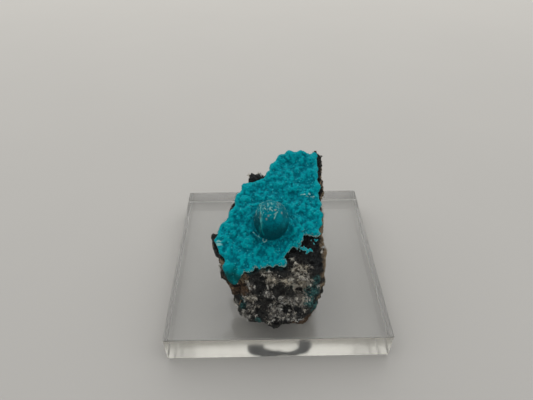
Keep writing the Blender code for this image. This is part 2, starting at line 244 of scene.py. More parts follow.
# Bare bed on top of the rock beside the crust, found by how far it faces upward
BED_TURN = (0.5, 0.75)
BED_RIDGES = (1.0, 4.0, 0.5)
BED_SINK = 0.05
BED_COVERED = (0.1, 0.5)

# Sprays of needle crystals on the rock
SPRAY_SPACING = 0.85 * MM
SPRAY_TRIES = 16000
SPRAY_NEEDLES = (14, 26)
SPRAY_GAP = 1.0
SPRAY_LOWEST = 12.5 * MM
SPRAY_SEED = 29
NEEDLE_LENGTH = (0.40 * MM, 1.10 * MM)
NEEDLE_WIDTH = 0.06 * MM
NEEDLE_VARY = (0.7, 1.3)
NEEDLE_LEAN = (25.0, 82.0)
NEEDLE_SKEW = 0.3
NEEDLE_SINK = 0.05
NEEDLE_THICKEST = 0.35
NEEDLE_FACES = np.array([
    (0, 2, 1), (0, 3, 2), (0, 4, 3), (0, 1, 4), (5, 1, 2), (5, 2, 3), (5, 3, 4), (5, 4, 1),
])
CREAM_LONGER = 0.5

# Colour zones on the rock's front: middle and reach in mm
CREAM_ZONES = (
    ((5.3, -25.0, 30.4), 4.0), ((-1.8, -26.2, 28.2), 2.6), ((5.8, -25.5, 25.1), 4.0),
    ((-6.6, -27.5, 22.0), 2.5), ((-4.0, -25.1, 30.4), 1.6), ((2.4, -26.0, 27.4), 2.6),
)
WHITE_ZONES = (
    ((1.9, -27.5, 21.0), 3.4), ((0.1, -28.3, 17.0), 4.6), ((5.5, -28.2, 21.4), 3.6),
    ((-7.1, -27.5, 18.2), 3.0), ((3.5, -29.4, 17.9), 2.6), ((-8.9, -26.9, 14.2), 2.0),
    ((-3.0, -27.4, 24.0), 1.8), ((-7.4, -26.3, 26.4), 1.7),
)
BLACK_ZONES = (
    ((0.0, -26.9, 25.8), 1.9), ((2.6, -27.6, 24.1), 1.6), ((-4.4, -27.2, 20.8), 2.4),
    ((-4.5, -28.0, 16.7), 2.3), ((10.1, -23.2, 31.0), 2.2), ((1.7, -29.1, 13.4), 1.8),
    ((-4.3, -26.9, 26.3), 1.6), ((4.5, -22.0, 32.1), 2.2), ((8.6, -23.2, 31.1), 1.8),
    ((1.0, -24.8, 30.8), 1.5), ((-6.3, -25.9, 29.5), 1.4), ((9.0, -20.1, 32.5), 2.2),
)
BROWN_ZONES = (
    ((-11.2, -25.3, 23.2), 4.2), ((-9.0, -26.1, 25.6), 3.0), ((6.1, -28.6, 13.5), 3.6),
    ((4.2, -28.7, 12.4), 2.2), ((8.4, -27.6, 14.4), 3.4), ((-12.6, -23.4, 28.0), 2.6),
)
TAN_ZONES = (
    ((-9.7, -25.3, 28.2), 2.8), ((-14.4, -23.3, 31.0), 1.8), ((-14.8, -21.0, 29.0), 2.2),
    ((13.4, -13.5, 36.5), 3.2), ((13.2, -16.6, 34.2), 3.4), ((13.2, -19.0, 32.8), 3.3),
    ((13.2, -21.2, 31.4), 2.9), ((12.9, -23.1, 30.0), 2.5), ((12.3, -24.8, 27.5), 2.2),
    ((11.8, -25.8, 24.0), 1.8), ((11.2, -26.8, 20.5), 1.6),
)
STAIN_ZONES = (
    ((8.7, -26.4, 23.6), 2.9), ((7.9, -27.7, 21.1), 2.4), ((9.6, -25.5, 27.0), 1.8),
    ((-9.8, -25.5, 17.8), 2.4), ((-5.6, -28.5, 13.8), 1.4), ((9.5, -27.4, 18.1), 2.2),
    ((-11.8, -21.2, 14.8), 1.4), ((3.6, -27.0, 26.0), 1.3),
)

# Where a zone ends, as a share of its reach, and how much of the pale crystals a black zone removes
ZONE_EDGE = 1.15
BLACK_SHARE = 0.85

# Colours on the rock's sides, which the photograph doesn't show: a layer of noise and its start.
# Brown and tan are rarer high up, and the right side is tan
SIDE_PALE = (5.0, 31.0, 1.1, 0.1)
SIDE_BROWN = (6.5, 3.0, 1.2, 0.1)
SIDE_TAN = (3.2, 11.0, 1.3, -0.25)
SIDE_STAIN = (3.0, 23.0, 1.4, -0.42)
HIGH_SIDE = (36.0 * MM, 41.0 * MM)
HIGH_BROWN = 0.5
HIGH_TAN = 0.8
RIGHT_TURN = (0.35, 0.75)
RIGHT_TOP = (-44.0 * MM, -41.0 * MM)
RIGHT_TAN = 0.95

# Blue-green skirt on the rock's front just below the crust
SKIRT_REACH = (-1.3, -0.3)
SKIRT_NOISE = (1.0, 2.0, 1.0, 0.75)
SKIRT_COVERED = (0.1, 0.4)

# Loose bits of crust on the bare bed: middle and radius in mm
BITS = (
    ((5.2, -19.8, 33.3), 0.32), ((5.8, -20.3, 33.1), 0.40), ((6.4, -20.7, 32.8), 0.36),
    ((7.0, -20.5, 32.9), 0.50), ((7.6, -20.9, 32.6), 0.48), ((8.2, -20.6, 32.7), 0.42),
    ((8.7, -20.9, 32.6), 0.28), ((7.2, -21.4, 32.3), 0.26), ((5.5, -21.0, 32.8), 0.24),
    ((6.6, -19.9, 33.2), 0.30), ((4.8, -20.6, 33.1), 0.22), ((9.3, -19.2, 33.4), 0.26),
    ((9.8, -18.6, 33.8), 0.30), ((9.0, -18.9, 33.6), 0.24), ((9.5, -18.2, 34.0), 0.28),
    ((10.2, -18.3, 34.0), 0.24), ((8.6, -18.4, 33.9), 0.26),
)
BIT_REACH = 1.6
BIT_RIM = 0.4
BIT_SIDE_RIM = 0.55
BIT_TURN = (0.12, 0.5)

# Tack: its foot is pressed flat on the base, and two lumps bulge out of its front
TACK_VOXEL = 0.22 * MM
TACK_SINK = 0.06 * MM
TACK_FOOT = 0.25 * MM
TACK_SWELL = 0.30 * MM
TACK_WAVES = (2.0, 0.0, 0.12)
TACK_SPREAD = 1.05
TACK_LUMP = 2.6 * MM
TACK_LUMPS = (((-4.0, -12.9, 11.0), 5.0), ((8.6, -8.0, 11.0), 2.4))
TACK_SMEAR = (2.6, 3.0, 0.9)
SMEAR_STRETCH = (1.0, 1.0, 0.2)

# Table under the base: its size in metres, and where its painted light falloff grows paler, in mm
FLOOR_DROP = 0.03 * MM
FLOOR_SIZE = 16.0
FLOOR_LIGHT_FADE = (-60.0, 340.0)

# Light: an even surround and one wide panel overhead, its size in metres
SURROUND = 0.50
SURROUND_COLOUR = (0.97, 0.985, 1.0)
PANEL_PLACE = (0.0, 1.2, 1.2)
PANEL_SIZE = (4.0, 3.4)
PANEL_GLOW = 0.72
PANEL_COLOUR = (1.0, 0.99, 0.97)
MOST_BOUNCES = 20
GLOSSY_BOUNCES = 12
CLEAR_BOUNCES = 16

# Colours of the rock: dark and light, or white and cream
BLACK_ROCK = ((0.004, 0.005, 0.005), (0.105, 0.108, 0.098))
GREY_ROCK = (0.080, 0.073, 0.062)
BROWN_ROCK = ((0.075, 0.043, 0.024), (0.38, 0.24, 0.14))
TAN_EARTH = ((0.24, 0.165, 0.095), (0.62, 0.49, 0.33))
BARE_BED = ((0.001, 0.002, 0.003), (0.060, 0.068, 0.070))
FROST = ((0.44, 0.425, 0.395), (0.52, 0.45, 0.33))
STAIN = ((0.0, 0.070, 0.070), (0.24, 0.58, 0.54))
CRYSTAL = ((0.34, 0.28, 0.20), (0.74, 0.71, 0.63))
SKIRT = (0.0, 0.075, 0.08)
# Painted shade: near black laid into the rock's sunk places
ROCK_HOLLOW_SHADE = (0.002, 0.002, 0.003)
WHITE_NEEDLE = ((0.16, 0.16, 0.15), (0.95, 0.94, 0.89))
CREAM_NEEDLE = ((0.22, 0.18, 0.12), (0.95, 0.86, 0.66))

# Colours of the crust and the ball, with the tint of their shine
# Painted shade for the creases and the dark valley patches, and also the dark of the random mottling
CRUST_SHADE_AND_DARK_MOSS = (0.0, 0.13, 0.175)
CRUST_BODY = ((0.0, 0.215, 0.275), (0.0, 0.26, 0.31))
# Painted highlight for the raised tops, and also the pale of the random mottling
CRUST_HIGHLIGHT_AND_PALE_MOSS = ((0.0, 0.315, 0.37), (0.0, 0.375, 0.41))
CRUST_DRIP = (0.0, 0.075, 0.075)
CRUST_GLINT = (0.06, 0.50, 0.52)
CRUST_RIM = (0.40, 0.60, 0.55)
CRUST_FLECK = (0.34, 0.62, 0.58)
BALL_BODY = ((0.0, 0.135, 0.175), (0.0, 0.225, 0.265))
BALL_CLOUD = (0.0, 0.09, 0.12)
# Painted shade for the ball's underside and for the recess under its shell
BALL_SHADE = (0.0, 0.045, 0.06)
BALL_LIGHT = (0.0, 0.28, 0.30)
BALL_FLECK = ((0.05, 0.45, 0.47), (0.38, 0.58, 0.52))
BALL_BAND = (0.0, 0.24, 0.25)
BALL_RIM = (0.10, 0.46, 0.44)
BALL_STREAK = (0.34, 0.56, 0.48)
BALL_SPECK = (0.36, 0.29, 0.25)
SHEEN = (0.1, 0.85, 1.0)

# Other colours
TACK_BODY = ((0.13, 0.145, 0.175), (0.56, 0.59, 0.64))
TACK_PALE = (0.60, 0.63, 0.67)
ACRYLIC_FACE = ((0.995, 1.0, 0.99), (1.0, 1.0, 0.998))
ACRYLIC_EDGE = ((0.60, 0.585, 0.535), (0.70, 0.685, 0.625))
ACRYLIC_IOR = 1.49
# Painted light falloff: the table's colour darker near the front and paler far back
TABLE_NEAR_SHADED = ((0.485, 0.471, 0.446), (0.505, 0.490, 0.464))
TABLE_FAR_LIT = ((0.605, 0.584, 0.545), (0.625, 0.603, 0.562))

# How many times narrower cells of colour are along each axis, and how fine the noise is that pushes
# them aside
DRIP_STRETCH = (1.0, 0.6, 0.25)
STREAK_STRETCH = (0.35, 1.8, 1.8)
FLECK_STRETCH = (0.75, 1.6, 0.75)
SAWN_STRETCH = (1.0, 1.0, 0.05)
WOBBLE_RATE = 0.7

# Ragged edge of a patch of colour, and how much more often specks appear where their mask is high
PATCH_DETAIL = 5.0
PATCH_RAGGED = 1.5
PATCH_EDGE = (0.28, 0.62)
SPRINKLE_GAIN = 0.6

# Noise for the shapes: roughness, step from size to size and number of sizes, then offset and gain
FRACTAL = (0.9, 2.1, 4)
RIDGED = (0.9, 2.2, 4, 1.0, 2.0)
RIDGED_MIDDLE = 1.1
FACET_SHIFT = 7.3
GRAIN_SIZE = 0.5
LUMP_SHARPNESS = 2.0
LUMP_MIDDLE = 0.65
SAME_PLACE = 0.0005 * MM


def linked(name, data):
    """A new object in the scene."""
    obj = bpy.data.objects.new(name, data)
    bpy.context.scene.collection.objects.link(obj)
    return obj


def camera():
    """Close wide view from the front, looking down at the slope."""
    data = bpy.data.cameras.new("camera")
    data.sensor_width = CAMERA_SENSOR
    data.lens = CAMERA_LENS
    data.clip_start = CAMERA_NEAREST
    obj = linked("camera", data)
    turn = Matrix.Rotation(CAMERA_YAW, 4, "Z")
    tip = Matrix.Rotation(math.radians(90.0) - CAMERA_DOWN, 4, "X")
    roll = Matrix.Rotation(-CAMERA_ROLL, 4, "Z")
    obj.matrix_world = Matrix.Translation(CAMERA_PLACE) @ turn @ tip @ roll
    bpy.context.scene.camera = obj


def points_of(mesh, kind="co"):
    values = np.empty(len(mesh.vertices) * 3)
    mesh.vertices.foreach_get(kind, values)
    return values.reshape(-1, 3)


def normals_of(mesh):
    return points_of(mesh, "normal")


def set_points(mesh, points):
    mesh.vertices.foreach_set("co", points.ravel())
    mesh.update()


def set_masks(mesh, **masks):
    """Stores numbers for each point, which a material reads by name."""
    for name, values in masks.items():
        stored = mesh.attributes.new(name, "FLOAT", "POINT")
        stored.data.foreach_set("value", np.asarray(values, dtype=np.float32))


def relaxed(mesh, points, rounds):
    """Points smoothed along the mesh's edges."""
    ends = np.empty(len(mesh.edges) * 2, dtype=np.int64)
    mesh.edges.foreach_get("vertices", ends)
    first, second = ends.reshape(-1, 2).T
    count = len(points)
    shared = np.bincount(first, minlength=count) + np.bincount(second, minlength=count)
    for _ in range(rounds):
        total = np.empty_like(points)
        for axis in range(3):
            total[:, axis] = np.bincount(first, points[second, axis], count)
            total[:, axis] += np.bincount(second, points[first, axis], count)
        points = total / shared[:, None]
    return points


def relief(mesh, rounds, full):
    """How far each point stands out of its smoothed surroundings, from -1 to 1."""
    points = points_of(mesh)
    out = ((points - relaxed(mesh, points, rounds)) * normals_of(mesh)).sum(axis=1)
    return np.clip(out / full, -1.0, 1.0)


def sampled(function, points, size, shift=0.0):
    """A noise function read at each point, with its features about this many mm across."""
    offset = Vector((shift, shift, shift))
    return np.array([function(Vector(point) + offset) for point in points / (size * MM)])


def layer(function, points, size, shift, height):
    """One layer of noise at each point."""
    return sampled(function, points, size, shift) * height


def fractal(place):
    return noise.fractal(place, *FRACTAL)


def ridges(place):
    return noise.ridged_multi_fractal(place, *RIDGED) - RIDGED_MIDDLE


def facet(place):
    """Cells that each lean their own way, like small broken faces."""
    middle = noise.voronoi(place)[1][0]
    lean = noise.cell_vector(middle * FACET_SHIFT) - Vector((0.5, 0.5, 0.5))
    return (place - middle).dot(lean)


def grains(place):
    """Rounded bumps, one in each cell."""
    return max(0.0, GRAIN_SIZE - noise.voronoi(place)[0][0])


def wandered(place):
    """The place, pushed aside by smooth noise that is the same in every run."""
    push = [noise.noise(place * WANDER_RATE + Vector(shift)) for shift in WANDER_SHIFTS]
    return place + WANDER_REACH * Vector(push)


def lumps(place):
    """Broad rounded lumps with creases between them, about 0 on average."""
    place = wandered(place)
    return max(0.0, 1.0 - LUMP_SHARPNESS * noise.voronoi(place)[0][0] ** 2) - LUMP_MIDDLE


def away(points, place):
    """Distance from each point to a place."""
    return np.linalg.norm(points - np.array(place), axis=1)


def zone(points, zones):
    """1 in the middle of any zone, falling to 0 just past its reach."""
    mask = np.zeros(len(points))
    for middle, reach in zones:
        far = away(points, np.array(middle) * MM) / (reach * MM)
        mask = np.maximum(mask, np.clip(ZONE_EDGE - far, 0.0, 1.0))
    return mask


def fade(values, low, high):
    """0 up to low and 1 from high on, with a soft rise between them."""
    part = np.clip((values - low) / (high - low), 0.0, 1.0)
    return part * part * (3.0 - 2.0 * part)


def near(distance, width):
    """1 at distance 0, falling away over about this width."""
    return np.exp(-((distance / width) ** 2))


def add_piece(name, mesh, material):
    """A piece that moves with the object."""
    piece = linked(name, mesh)
    mesh.materials.clear()
    mesh.materials.append(material)
    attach(piece, "root")
    return piece


def fused(mesh, voxel):
    """One closed skin around overlapping shapes."""
    obj = linked("fusing", mesh)
    remesh = obj.modifiers.new("fuse", "REMESH")
    remesh.mode = "VOXEL"
    remesh.voxel_size = voxel
    graph = bpy.context.evaluated_depsgraph_get()
    skin = bpy.data.meshes.new_from_object(obj.evaluated_get(graph))
    bpy.data.objects.remove(obj)
    return skin


def triangles_of(mesh):
    mesh.calc_loop_triangles()
    corners = np.empty(len(mesh.loop_triangles) * 3, dtype=np.int64)
    mesh.loop_triangles.foreach_get("vertices", corners)
    return corners.reshape(-1, 3)


def plain_copy(node):
    """The node's points, each place once, and its triangles."""
    points = points_of(node.data)
    keys = np.round(points / SAME_PLACE).astype(np.int64)
    _, first, back = np.unique(keys, axis=0, return_index=True, return_inverse=True)
    return points[first], back.ravel()[triangles_of(node.data)]


def mesh_of(name, points, triangles):
    mesh = bpy.data.meshes.new(name)
    mesh.from_pydata(points.tolist(), [], triangles.tolist())
    mesh.update()
    return mesh


def joined(shapes):
    """Points and triangles of several shapes in one list."""
    points = []
    triangles = []
    start = 0
    for corners, faces in shapes:
        points.append(corners)
        triangles.append(faces + start)
        start += len(corners)
    return np.concatenate(points), np.concatenate(triangles)


def unit_ball(detail):
    """Points and triangles of a round ball of radius 1."""
    bpy.ops.mesh.primitive_ico_sphere_add(subdivisions=detail, radius=1.0)
    obj = bpy.context.object
    triangles = np.array([face.vertices[:] for face in obj.data.polygons])
    points = points_of(obj.data)
    bpy.data.objects.remove(obj)
    return points, triangles


def surface_spots(points, triangles, spacing, rng, tries):
    """Random spots on a surface with their normals, none closer together than spacing."""
    a, b, c = (points[triangles[:, corner]] for corner in range(3))
    across = np.cross(b - a, c - a)
    area = np.linalg.norm(across, axis=1)
    chosen = rng.choice(len(triangles), size=tries, p=area / area.sum())
    root = np.sqrt(rng.random(tries))[:, None]
    part = rng.random(tries)[:, None]
    spots = a[chosen] * (1 - root) + b[chosen] * root * (1 - part) + c[chosen] * root * part
    normals = across[chosen] / area[chosen][:, None]
    taken = {}
    kept = []
    for index, spot in enumerate(spots):
        cell = tuple(np.floor(spot / spacing).astype(int))
        around = [
            taken.get((cell[0] + i, cell[1] + j, cell[2] + k), ())
            for i in (-1, 0, 1)
            for j in (-1, 0, 1)
            for k in (-1, 0, 1)
        ]
        if any(np.linalg.norm(spots[other] - spot) < spacing for group in around for other in group):
            continue
        taken.setdefault(cell, []).append(index)
        kept.append(index)
    return spots[kept], normals[kept]


class Finish:
    """A material under construction, with short calls for its nodes. Sizes are in mm."""

    def __init__(self, name):
        self.material = bpy.data.materials.new(name)
        self.material.use_nodes = True
        self.tree = self.material.node_tree
        self.surface = self.tree.nodes["Principled BSDF"]
        self.tone = None
        coordinates = self.node("TexCoord")
        self.place = self.vector("SCALE", coordinates.outputs["Object"], 1.0 / MM)

    def node(self, kind):
        return self.tree.nodes.new("ShaderNode" + kind)

    def put(self, socket, value):
        """Links a socket to another, or sets it to a number, a vector or a colour without alpha."""
        if isinstance(value, bpy.types.NodeSocket):
            self.tree.links.new(value, socket)
        elif socket.type == "RGBA":
            socket.default_value = (*value, 1.0)
        else:
            socket.default_value = value

    def vector(self, operation, first, second):
        step = self.node("VectorMath")
        step.operation = operation
        self.put(step.inputs[0], first)
        self.put(step.inputs["Scale" if operation == "SCALE" else 1], second)
        return step.outputs["Vector"]

    def part(self, vector, axis):
        """One of a vector's three numbers."""
        split = self.node("SeparateXYZ")
        self.put(split.inputs[0], vector)
        return split.outputs[axis]

    def set(self, name, value):
        self.put(self.surface.inputs[name], value)

    def mask(self, name, share=None):
        """A number stored for each point, or a share of it."""
        reader = self.node("Attribute")
        reader.attribute_name = name
        value = reader.outputs["Fac"]
        return value if share is None else self.times(value, share)

    def texture(self, kind, place, rate):
        step = self.node(kind)
        self.put(step.inputs["Vector"], place)
        step.inputs["Scale"].default_value = rate
        return step

    def noise(self, size, detail, roughness, distortion=0.0):
        texture = self.texture("TexNoise", self.place, 1.0 / size)
        texture.inputs["Detail"].default_value = detail
        texture.inputs["Roughness"].default_value = roughness
        texture.inputs["Distortion"].default_value = distortion
        return texture.outputs["Fac"]

    def cells(self, size, stretch=(1.0, 1.0, 1.0), wobble=0.0):
        """Distance from the middle of each cell, and two random numbers for the cell."""
        place = self.place
        if wobble:
            texture = self.texture("TexNoise", place, WOBBLE_RATE / size)
            place = self.vector("ADD", place, self.vector("SCALE", texture.outputs["Color"], wobble))
        texture = self.texture("TexVoronoi", self.vector("MULTIPLY", place, stretch), 1.0 / size)
        split = self.node("SeparateColor")
        self.put(split.inputs["Color"], texture.outputs["Color"])
        return texture.outputs["Distance"], split.outputs["Red"], split.outputs["Green"]

    def math(self, operation, first, second=0.0):
        step = self.node("Math")
        step.operation = operation
        self.put(step.inputs[0], first)
        self.put(step.inputs[1], second)
        return step.outputs["Value"]

    def times(self, first, second):
        return self.math("MULTIPLY", first, second)

    def plus(self, first, second):
        return self.math("ADD", first, second)

    def minus(self, first, second):
        return self.math("SUBTRACT", first, second)

    def ramp(self, value, low, high, start=0.0, end=1.0):
        """Maps low..high to start..end, held at both ends."""
        step = self.node("MapRange")
        names = ("Value", "From Min", "From Max", "To Min", "To Max")
        for name, given in zip(names, (value, low, high, start, end)):
            self.put(step.inputs[name], given)
        return step.outputs["Result"]

    def mix(self, factor, first, second):
        """The first colour where the factor is 0, the second where it is 1."""
        blend = self.node("Mix")
        blend.data_type = "RGBA"
        self.put(blend.inputs["Factor"], factor)
        colours = [socket for socket in blend.inputs if socket.type == "RGBA"]
        self.put(colours[0], first)
        self.put(colours[1], second)
        return [socket for socket in blend.outputs if socket.type == "RGBA"][0]

    def cover(self, factor, tone):
        """Lays a colour over the ones that the material has so far."""
        self.tone = self.mix(factor, self.tone, tone)

    def bump(self, height, depth, under=None):
        """Shading of a height from 0 to 1, this many mm deep, over another bump."""
        step = self.node("Bump")
        step.inputs["Distance"].default_value = depth * MM
        self.put(step.inputs["Height"], height)
        if under is not None:
            self.put(step.inputs["Normal"], under)
        return step.outputs["Normal"]

    def patches(self, name, size, rough):
        """A mask with a ragged edge."""
        ragged = self.times(self.minus(self.noise(size, PATCH_DETAIL, rough), 0.5), PATCH_RAGGED)
        return self.ramp(self.plus(self.mask(name), ragged), *PATCH_EDGE)

    def sprinkled(self, chance, name, start, soft):
        """1 in the cells whose chance is high, with more of them where the mask is high."""
        wanted = self.minus(start, self.mask(name, SPRINKLE_GAIN))
        return self.ramp(chance, wanted, self.plus(wanted, soft))


def rock_finish():
    """Black and brown matrix with pale crystals, tan earth and blue-green stains, and painted shade in
    its sunk places.
    """
    finish = Finish("dark_matrix")
    grain = finish.noise(0.35, 6.0, 0.7)
    broad = finish.noise(2.4, 4.0, 0.6)
    crinkle = finish.ramp(finish.noise(0.55, 6.0, 0.75, distortion=1.5), 0.46, 0.64)
    finish.tone = finish.mix(crinkle, *BLACK_ROCK)
    finish.cover(finish.ramp(broad, 0.5, 0.75, end=0.6), GREY_ROCK)
    finish.cover(finish.patches("brown", 0.7, 0.7), finish.mix(crinkle, *BROWN_ROCK))
    finish.cover(finish.patches("tan", 0.6, 0.8), finish.mix(crinkle, *TAN_EARTH))
    finish.cover(finish.mask("bed", 0.85), finish.mix(crinkle, *BARE_BED))
    frost = finish.times(finish.patches("pale", 0.7, 0.8), finish.ramp(crinkle, 0.05, 0.9, 0.12, 0.85))
    finish.cover(frost, finish.mix(finish.mask("cream"), *FROST))
    stained = finish.times(finish.patches("stain", 0.45, 0.85), 0.95)
    stained = finish.times(stained, finish.ramp(grain, 0.36, 0.5))
    finish.cover(stained, finish.mix(crinkle, *STAIN))
    far, chance, tint = finish.cells(0.34, wobble=0.5)
    speck = finish.sprinkled(chance, "pale", 0.98, 0.08)
    speck = finish.times(speck, finish.ramp(far, 0.32, 0.62, 1.0, 0.0))
    finish.cover(speck, finish.mix(tint, *CRYSTAL))
    finish.cover(finish.mask("skirt"), SKIRT)
    # Painted shade: the rock goes near black where its skin sinks below its surroundings
    lit = finish.ramp(finish.mask("relief"), -0.8, 0.3, start=0.12)
    finish.set("Base Color", finish.mix(lit, ROCK_HOLLOW_SHADE, finish.tone))
    finish.set("Roughness", finish.ramp(finish.plus(grain, speck), 0.3, 1.6, 0.85, 0.3))
    finish.set("Specular IOR Level", 0.35)
    rough = finish.bump(crinkle, 0.25, finish.bump(grain, 0.2))
    finish.set("Normal", finish.bump(speck, 0.12, rough))
    return finish.material


def needle_finish():
    """Fine crystals, white to cream."""
    finish = Finish("crystal_needles")
    grain = finish.noise(0.5, 4.0, 0.6)
    lit = finish.ramp(grain, 0.35, 0.65)
    white = finish.mix(lit, *WHITE_NEEDLE)
    cream = finish.mix(lit, *CREAM_NEEDLE)
    finish.set("Base Color", finish.mix(finish.mask("tint"), white, cream))
    finish.set("Roughness", finish.ramp(grain, 0.3, 0.7, 0.3, 0.55))
    return finish.material


def crust_finish():
    """Velvety blue-green growths, with painted shade in the creases, painted highlights on the raised
    tops, and pale along the broken edge.
    """
    finish = Finish("chrysocolla")
    standing = finish.plus(finish.mask("relief"), finish.mask("valley"))
    broad = finish.noise(5.0, 3.0, 0.5)
    fine = finish.noise(0.22, 5.0, 0.65)
    body = finish.mix(finish.ramp(broad, 0.35, 0.65), *CRUST_BODY)
    highlight_and_moss = finish.mix(broad, *CRUST_HIGHLIGHT_AND_PALE_MOSS)
    # Painted shade in the creases and painted highlight on the raised tops, by how far each point
    # stands out of its surroundings
    finish.tone = finish.mix(finish.ramp(standing, -0.95, 0.05), CRUST_SHADE_AND_DARK_MOSS, body)
    finish.cover(finish.ramp(standing, 0.0, 0.8), highlight_and_moss)
    # Painted shade: dark patches at random, standing for shaded valleys
    finish.cover(finish.ramp(finish.noise(2.2, 3.0, 0.6), 0.52, 0.72, end=0.55), CRUST_SHADE_AND_DARK_MOSS)
    # Random dark and pale mottling, in the shade and highlight colours
    moss = finish.noise(0.55, 4.0, 0.7)
    finish.cover(finish.ramp(moss, 0.46, 0.62, end=0.4), CRUST_SHADE_AND_DARK_MOSS)
    finish.cover(finish.ramp(moss, 0.52, 0.36, end=0.3), highlight_and_moss)
    folds = finish.ramp(finish.cells(0.8, DRIP_STRETCH, 0.4)[0], 0.2, 0.6, 0.55, 0.95)
    finish.cover(finish.mask("drip", folds), CRUST_DRIP)
    far, chance, _ = finish.cells(0.45, wobble=0.4)
    glint = finish.times(finish.ramp(chance, 0.86, 0.9), finish.ramp(far, 0.2, 0.5, 0.6, 0.0))
    finish.cover(glint, CRUST_GLINT)
    finish.cover(finish.times(finish.patches("rim", 0.35, 0.75), 0.8), CRUST_RIM)
    streak = finish.ramp(finish.cells(0.8, STREAK_STRETCH, 0.9)[1], 0.74, 0.8)
    finish.cover(finish.mask("fleck", streak), CRUST_FLECK)
    finish.set("Base Color", finish.tone)
    finish.set("Roughness", finish.ramp(fine, 0.3, 0.7, 0.45, 0.7))
    finish.set("Specular IOR Level", 0.18)
    finish.set("Specular Tint", SHEEN)
    finish.set("Normal", finish.bump(fine, 0.10))
    return finish.material


def ball_finish():
    """Smooth dark ball with pale streaks and a thin shell edge, and painted shade on its underside and
    under the shell.
    """
    finish = Finish("chrysocolla_ball")
    broad = finish.noise(2.6, 4.0, 0.55)
    fine = finish.noise(0.3, 5.0, 0.6)
    finish.tone = finish.mix(finish.ramp(broad, 0.35, 0.68), *BALL_BODY)
    finish.cover(finish.ramp(finish.cells(0.65, wobble=0.8)[1], 0.3, 0.9, end=0.7), BALL_CLOUD)
    # Painted shade: dark over the ball's underside and in the recess under the broken shell
    finish.cover(finish.mask("lower", 0.88), BALL_SHADE)
    finish.cover(finish.mask("recess", 0.8), BALL_SHADE)
    finish.cover(finish.ramp(fine, 0.52, 0.75, end=0.35), BALL_LIGHT)
    far, chance, tint = finish.cells(0.42, FLECK_STRETCH, 0.6)
    fleck = finish.times(finish.sprinkled(chance, "fleck", 1.05, 0.05), 0.75)
    fleck = finish.times(fleck, finish.ramp(far, 0.2, 0.45, 1.0, 0.0))
    finish.cover(fleck, finish.mix(tint, *BALL_FLECK))
    finish.cover(finish.mask("band", 0.6), BALL_BAND)
    finish.cover(finish.mask("rim", finish.ramp(fine, 0.35, 0.6, 0.4, 0.95)), BALL_RIM)
    worn = finish.ramp(fine, 0.35, 0.6, 0.3, 0.9)
    finish.cover(finish.mask("streak", worn), BALL_STREAK)
    finish.cover(finish.mask("speck", worn), BALL_SPECK)
    finish.set("Base Color", finish.tone)
    finish.set("Roughness", finish.ramp(fine, 0.3, 0.7, 0.4, 0.6))
    finish.set("Specular IOR Level", 0.12)
    finish.set("Specular Tint", SHEEN)
    finish.set("Normal", finish.bump(fine, 0.06))
    return finish.material


def tack_finish():
    """Dull putty with thumb marks."""
    finish = Finish("grey_tack")
    marks = finish.noise(0.9, 3.0, 0.5)
    broad = finish.noise(3.0, 2.0, 0.5)
    body = finish.mix(finish.ramp(marks, 0.36, 0.62), *TACK_BODY)
    finish.set("Base Color", finish.mix(finish.ramp(broad, 0.4, 0.7), body, TACK_PALE))
    finish.set("Roughness", finish.ramp(marks, 0.3, 0.7, 0.5, 0.7))
    finish.set("Normal", finish.bump(marks, 0.15))
    return finish.material


def acrylic_finish():
    """Clear acrylic: polished faces above and below, sawn and buffed edges, frosted chamfers."""
    finish = Finish("clear_acrylic")
    polished = finish.mix(finish.noise(6.0, 3.0, 0.5), *ACRYLIC_FACE)
    buffed = finish.mix(finish.cells(1.6, SAWN_STRETCH, 0.3)[1], *ACRYLIC_EDGE)
    facing = finish.node("NewGeometry")
    level = finish.math("ABSOLUTE", finish.part(facing.outputs["True Normal"], "Z"))
    finish.set("Base Color", finish.mix(finish.ramp(level, 0.1, 0.9), buffed, polished))
    chamfer = finish.times(finish.ramp(level, 0.1, 0.3), finish.ramp(level, 0.85, 0.98, 1.0, 0.0))
    edge = finish.ramp(level, 0.1, 0.9, 0.2, 0.0)
    finish.set("Roughness", finish.plus(edge, finish.times(chamfer, 0.6)))
    finish.set("IOR", ACRYLIC_IOR)
    finish.set("Transmission Weight", 1.0)
    return finish.material


def floor_finish():
    """Plain pale table with painted light falloff: darker at the front, a little paler towards the
    back.
    """
    finish = Finish("pale_table")
    cloud = finish.noise(60.0, 2.0, 0.5)
    # Painted light falloff from the front of the table to its back
    back = finish.ramp(finish.part(finish.place, "Y"), *FLOOR_LIGHT_FADE)
    shaded_near_tone = finish.mix(cloud, *TABLE_NEAR_SHADED)
    lit_far_tone = finish.mix(cloud, *TABLE_FAR_LIT)
    finish.set("Base Color", finish.mix(back, shaded_near_tone, lit_far_tone))
    finish.set("Roughness", 0.8)
    finish.set("Specular IOR Level", 0.2)
    return finish.material


def on_face(points):
    """Places in mm on the sloping face: u to the right, v up the slope, w out of the rock."""
    inverse = np.array(FACE.inverted())
    return (points @ inverse[:3, :3].T + inverse[:3, 3]) / MM


def segment_distance(points, start, end):
    """Distance from each point to the line between two points."""
    start = np.array(start, dtype=float)
    along = np.array(end) - start
    part = np.clip(((points - start) @ along) / max(along @ along, TINY), 0.0, 1.0)
    return np.linalg.norm(points - start - part[:, None] * along, axis=1)


def path_distance(points, *paths):
    """Distance from each point to the nearest of several lines, each through two or more places."""
    pairs = [ends for path in paths for ends in zip(path, path[1:])]
    return np.min([segment_distance(points, *ends) for ends in pairs], axis=0)


def on_ball(points):
    """Places where the ball's surface is at distance 1 from its middle."""
    middle = on_face(np.array(BALL_CENTRE)[None, :])
    return (on_face(points) - middle) / np.array(BALL_RADII)


def ball_reach(points):
    """Distance of each point from the ball's middle, 1 on its surface."""
    return np.linalg.norm(on_ball(points), axis=1)


